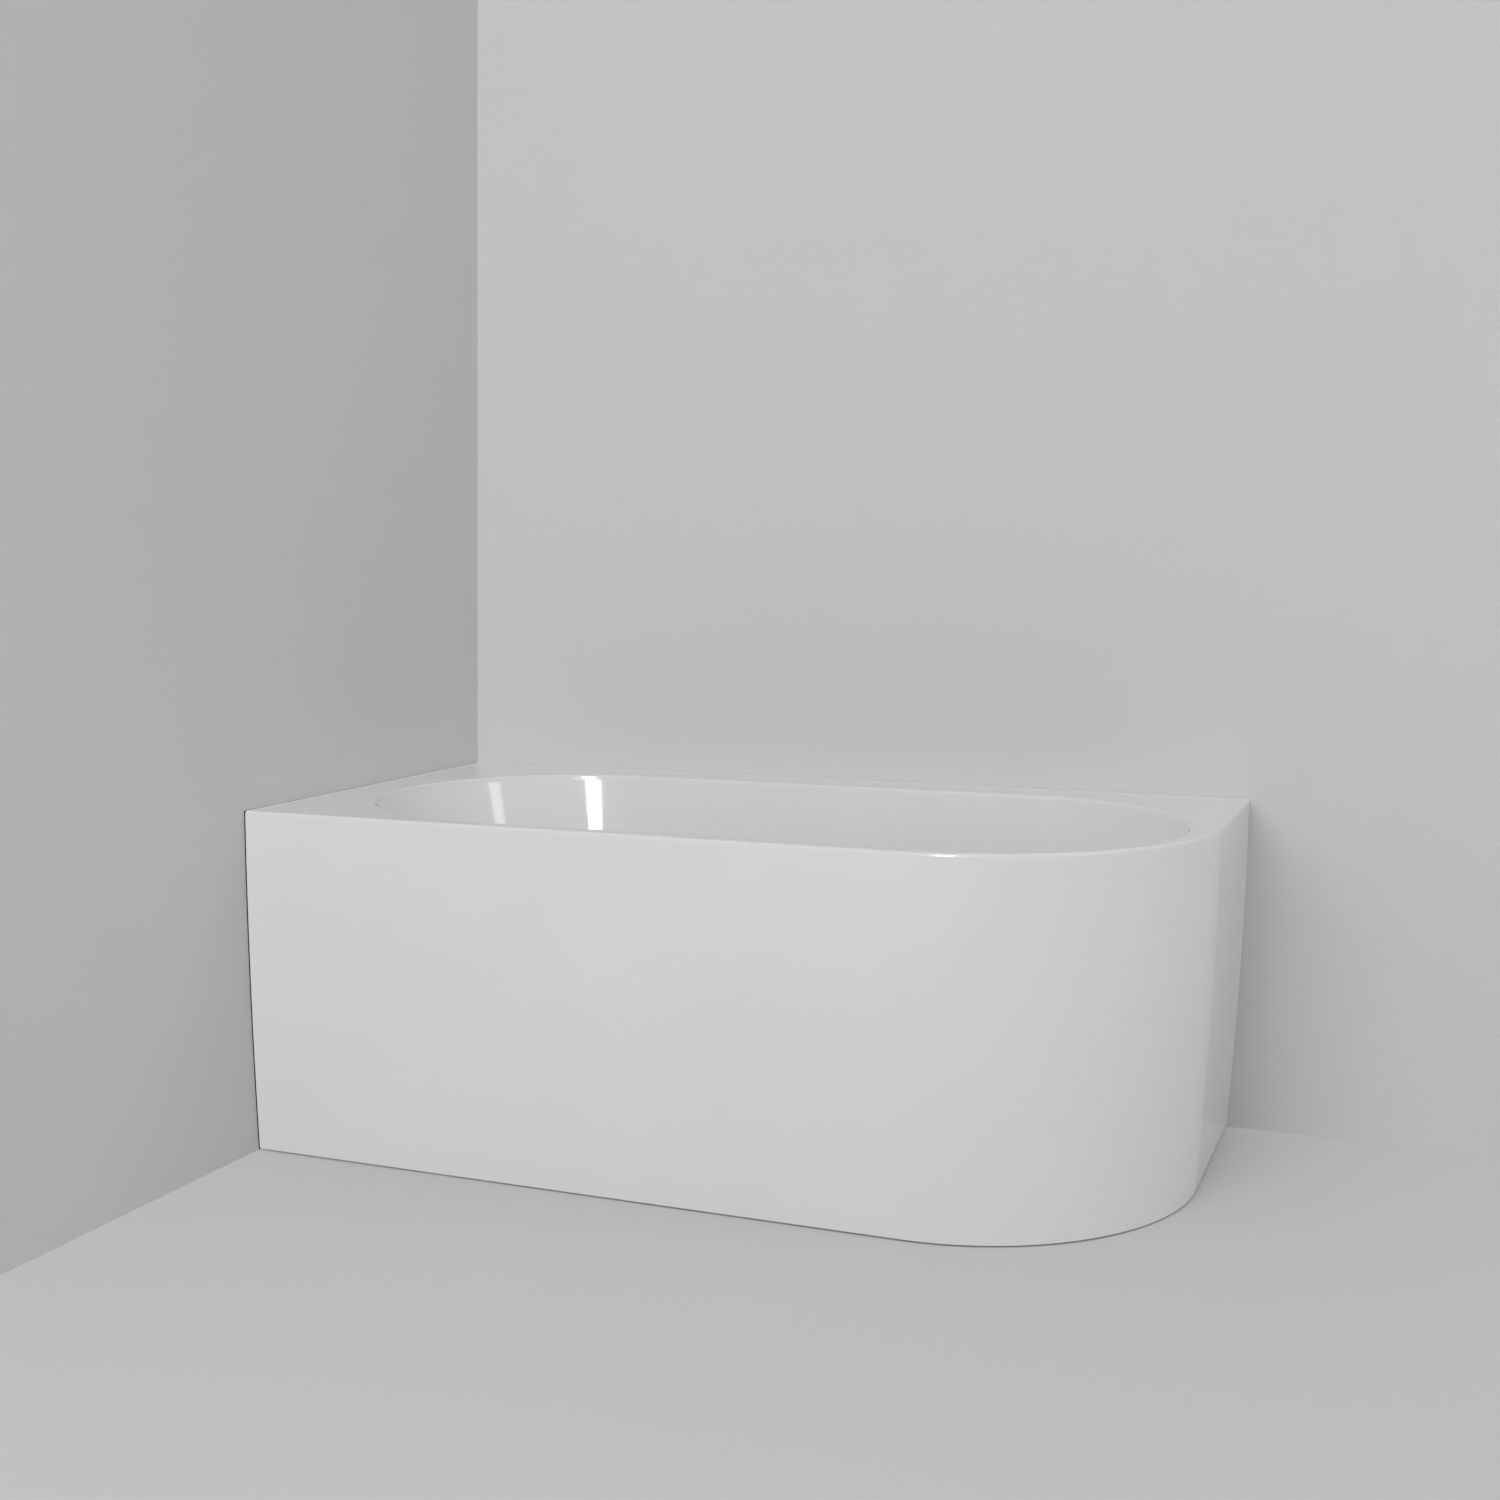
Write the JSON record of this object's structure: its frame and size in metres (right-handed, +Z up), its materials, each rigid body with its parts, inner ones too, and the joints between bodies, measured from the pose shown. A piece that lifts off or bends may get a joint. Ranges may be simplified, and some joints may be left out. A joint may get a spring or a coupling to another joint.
{
  "type": "bathtub",
  "caption": "Corner bathtub with a white acrylic shell, rounded free end, wrap-round apron, steel frame on screw feet, pop-up waste with turning overflow knob, and trap.",
  "frame": {"origin": "on the floor, in the middle of the overall length and width", "axes": "+X along the bath towards the rounded free end, +Y towards the wall at the back, +Z up"},
  "size_m": [1.6, 0.8, 0.6],
  "materials": {
    "white_acrylic": "gloss",
    "fibreglass": "rough",
    "board": "raw",
    "batten": "raw",
    "frame_steel": "satin",
    "black_plastic": "matt",
    "zinc_steel": "zinc plated",
    "chrome": "polished",
    "seal_rubber": "matt",
    "waste_plastic": "satin",
    "hose_plastic": "satin"
  },
  "bodies": {
    "bath": {"bath_shell": "white_acrylic", "fibreglass_backing": "fibreglass", "apron": "white_acrylic", "base_board": "board", "back_batten": "batten", "left_batten": "batten", "front_rail": "frame_steel", "back_rail": "frame_steel", "left_beam": "frame_steel", "middle_beam": "frame_steel", "right_beam": "frame_steel", "front_left_post": "frame_steel", "back_left_post": "frame_steel", "back_middle_post": "frame_steel", "back_right_post": "frame_steel", "tube_caps": "black_plastic", "board_screws": "zinc_steel", "left_apron_bracket": "zinc_steel", "middle_apron_bracket": "zinc_steel", "corner_apron_bracket": "zinc_steel", "end_apron_bracket": "zinc_steel", "bracket_screws": "zinc_steel", "weld_nuts": "zinc_steel", "lock_nuts": "zinc_steel", "waste_flange": "chrome", "flange_seal": "seal_rubber", "waste_body": "waste_plastic", "waste_body_seal": "seal_rubber", "trap_nut": "waste_plastic", "trap_cup": "waste_plastic", "outlet_nut": "waste_plastic", "outlet_pipe": "waste_plastic", "overflow_body": "waste_plastic", "overflow_seal": "seal_rubber", "overflow_ring": "chrome", "ring_seal": "seal_rubber", "overflow_screws": "zinc_steel", "overflow_hose": "hose_plastic", "hose_nuts": "waste_plastic", "bowden_cable": "black_plastic", "left_wall_anchor": "zinc_steel", "back_wall_anchor_1": "zinc_steel", "back_wall_anchor_2": "zinc_steel"},
    "plug": {"drain_plug": "chrome", "plug_seal": "seal_rubber"},
    "knob": {"overflow_knob": "chrome"},
    "foot_1": {"foot_1_rod": "zinc_steel", "foot_1_pad": "black_plastic"},
    "foot_2": {"foot_2_rod": "zinc_steel", "foot_2_pad": "black_plastic"},
    "foot_3": {"foot_3_rod": "zinc_steel", "foot_3_pad": "black_plastic"},
    "foot_4": {"foot_4_rod": "zinc_steel", "foot_4_pad": "black_plastic"},
    "foot_5": {"foot_5_rod": "zinc_steel", "foot_5_pad": "black_plastic"},
    "foot_6": {"foot_6_rod": "zinc_steel", "foot_6_pad": "black_plastic"}
  },
  "joints": [
    {"name": "knob_turn", "type": "hinge", "parent": "bath", "child": "knob", "pos_m": [0.73229, -0.03, 0.52], "axis": [-0.9613, 0, 0.2756], "range_deg": [0, 90]},
    {"name": "plug_lift", "type": "slide", "parent": "bath", "child": "plug", "axis": [0, 0, 1], "range_m": [0, 0.009]},
    {"name": "foot_1_adjust", "type": "slide", "parent": "bath", "child": "foot_1", "axis": [0, 0, -1], "range_m": [0, 0.02]},
    {"name": "foot_2_adjust", "type": "slide", "parent": "bath", "child": "foot_2", "axis": [0, 0, -1], "range_m": [0, 0.02]},
    {"name": "foot_3_adjust", "type": "slide", "parent": "bath", "child": "foot_3", "axis": [0, 0, -1], "range_m": [0, 0.02]},
    {"name": "foot_4_adjust", "type": "slide", "parent": "bath", "child": "foot_4", "axis": [0, 0, -1], "range_m": [0, 0.02]},
    {"name": "foot_5_adjust", "type": "slide", "parent": "bath", "child": "foot_5", "axis": [0, 0, -1], "range_m": [0, 0.02]},
    {"name": "foot_6_adjust", "type": "slide", "parent": "bath", "child": "foot_6", "axis": [0, 0, -1], "range_m": [0, 0.02]}
  ],
  "couplings": [
    {"joint": "plug_lift", "follows": "knob_turn", "m_per_rad": 0.0057296}
  ]
}
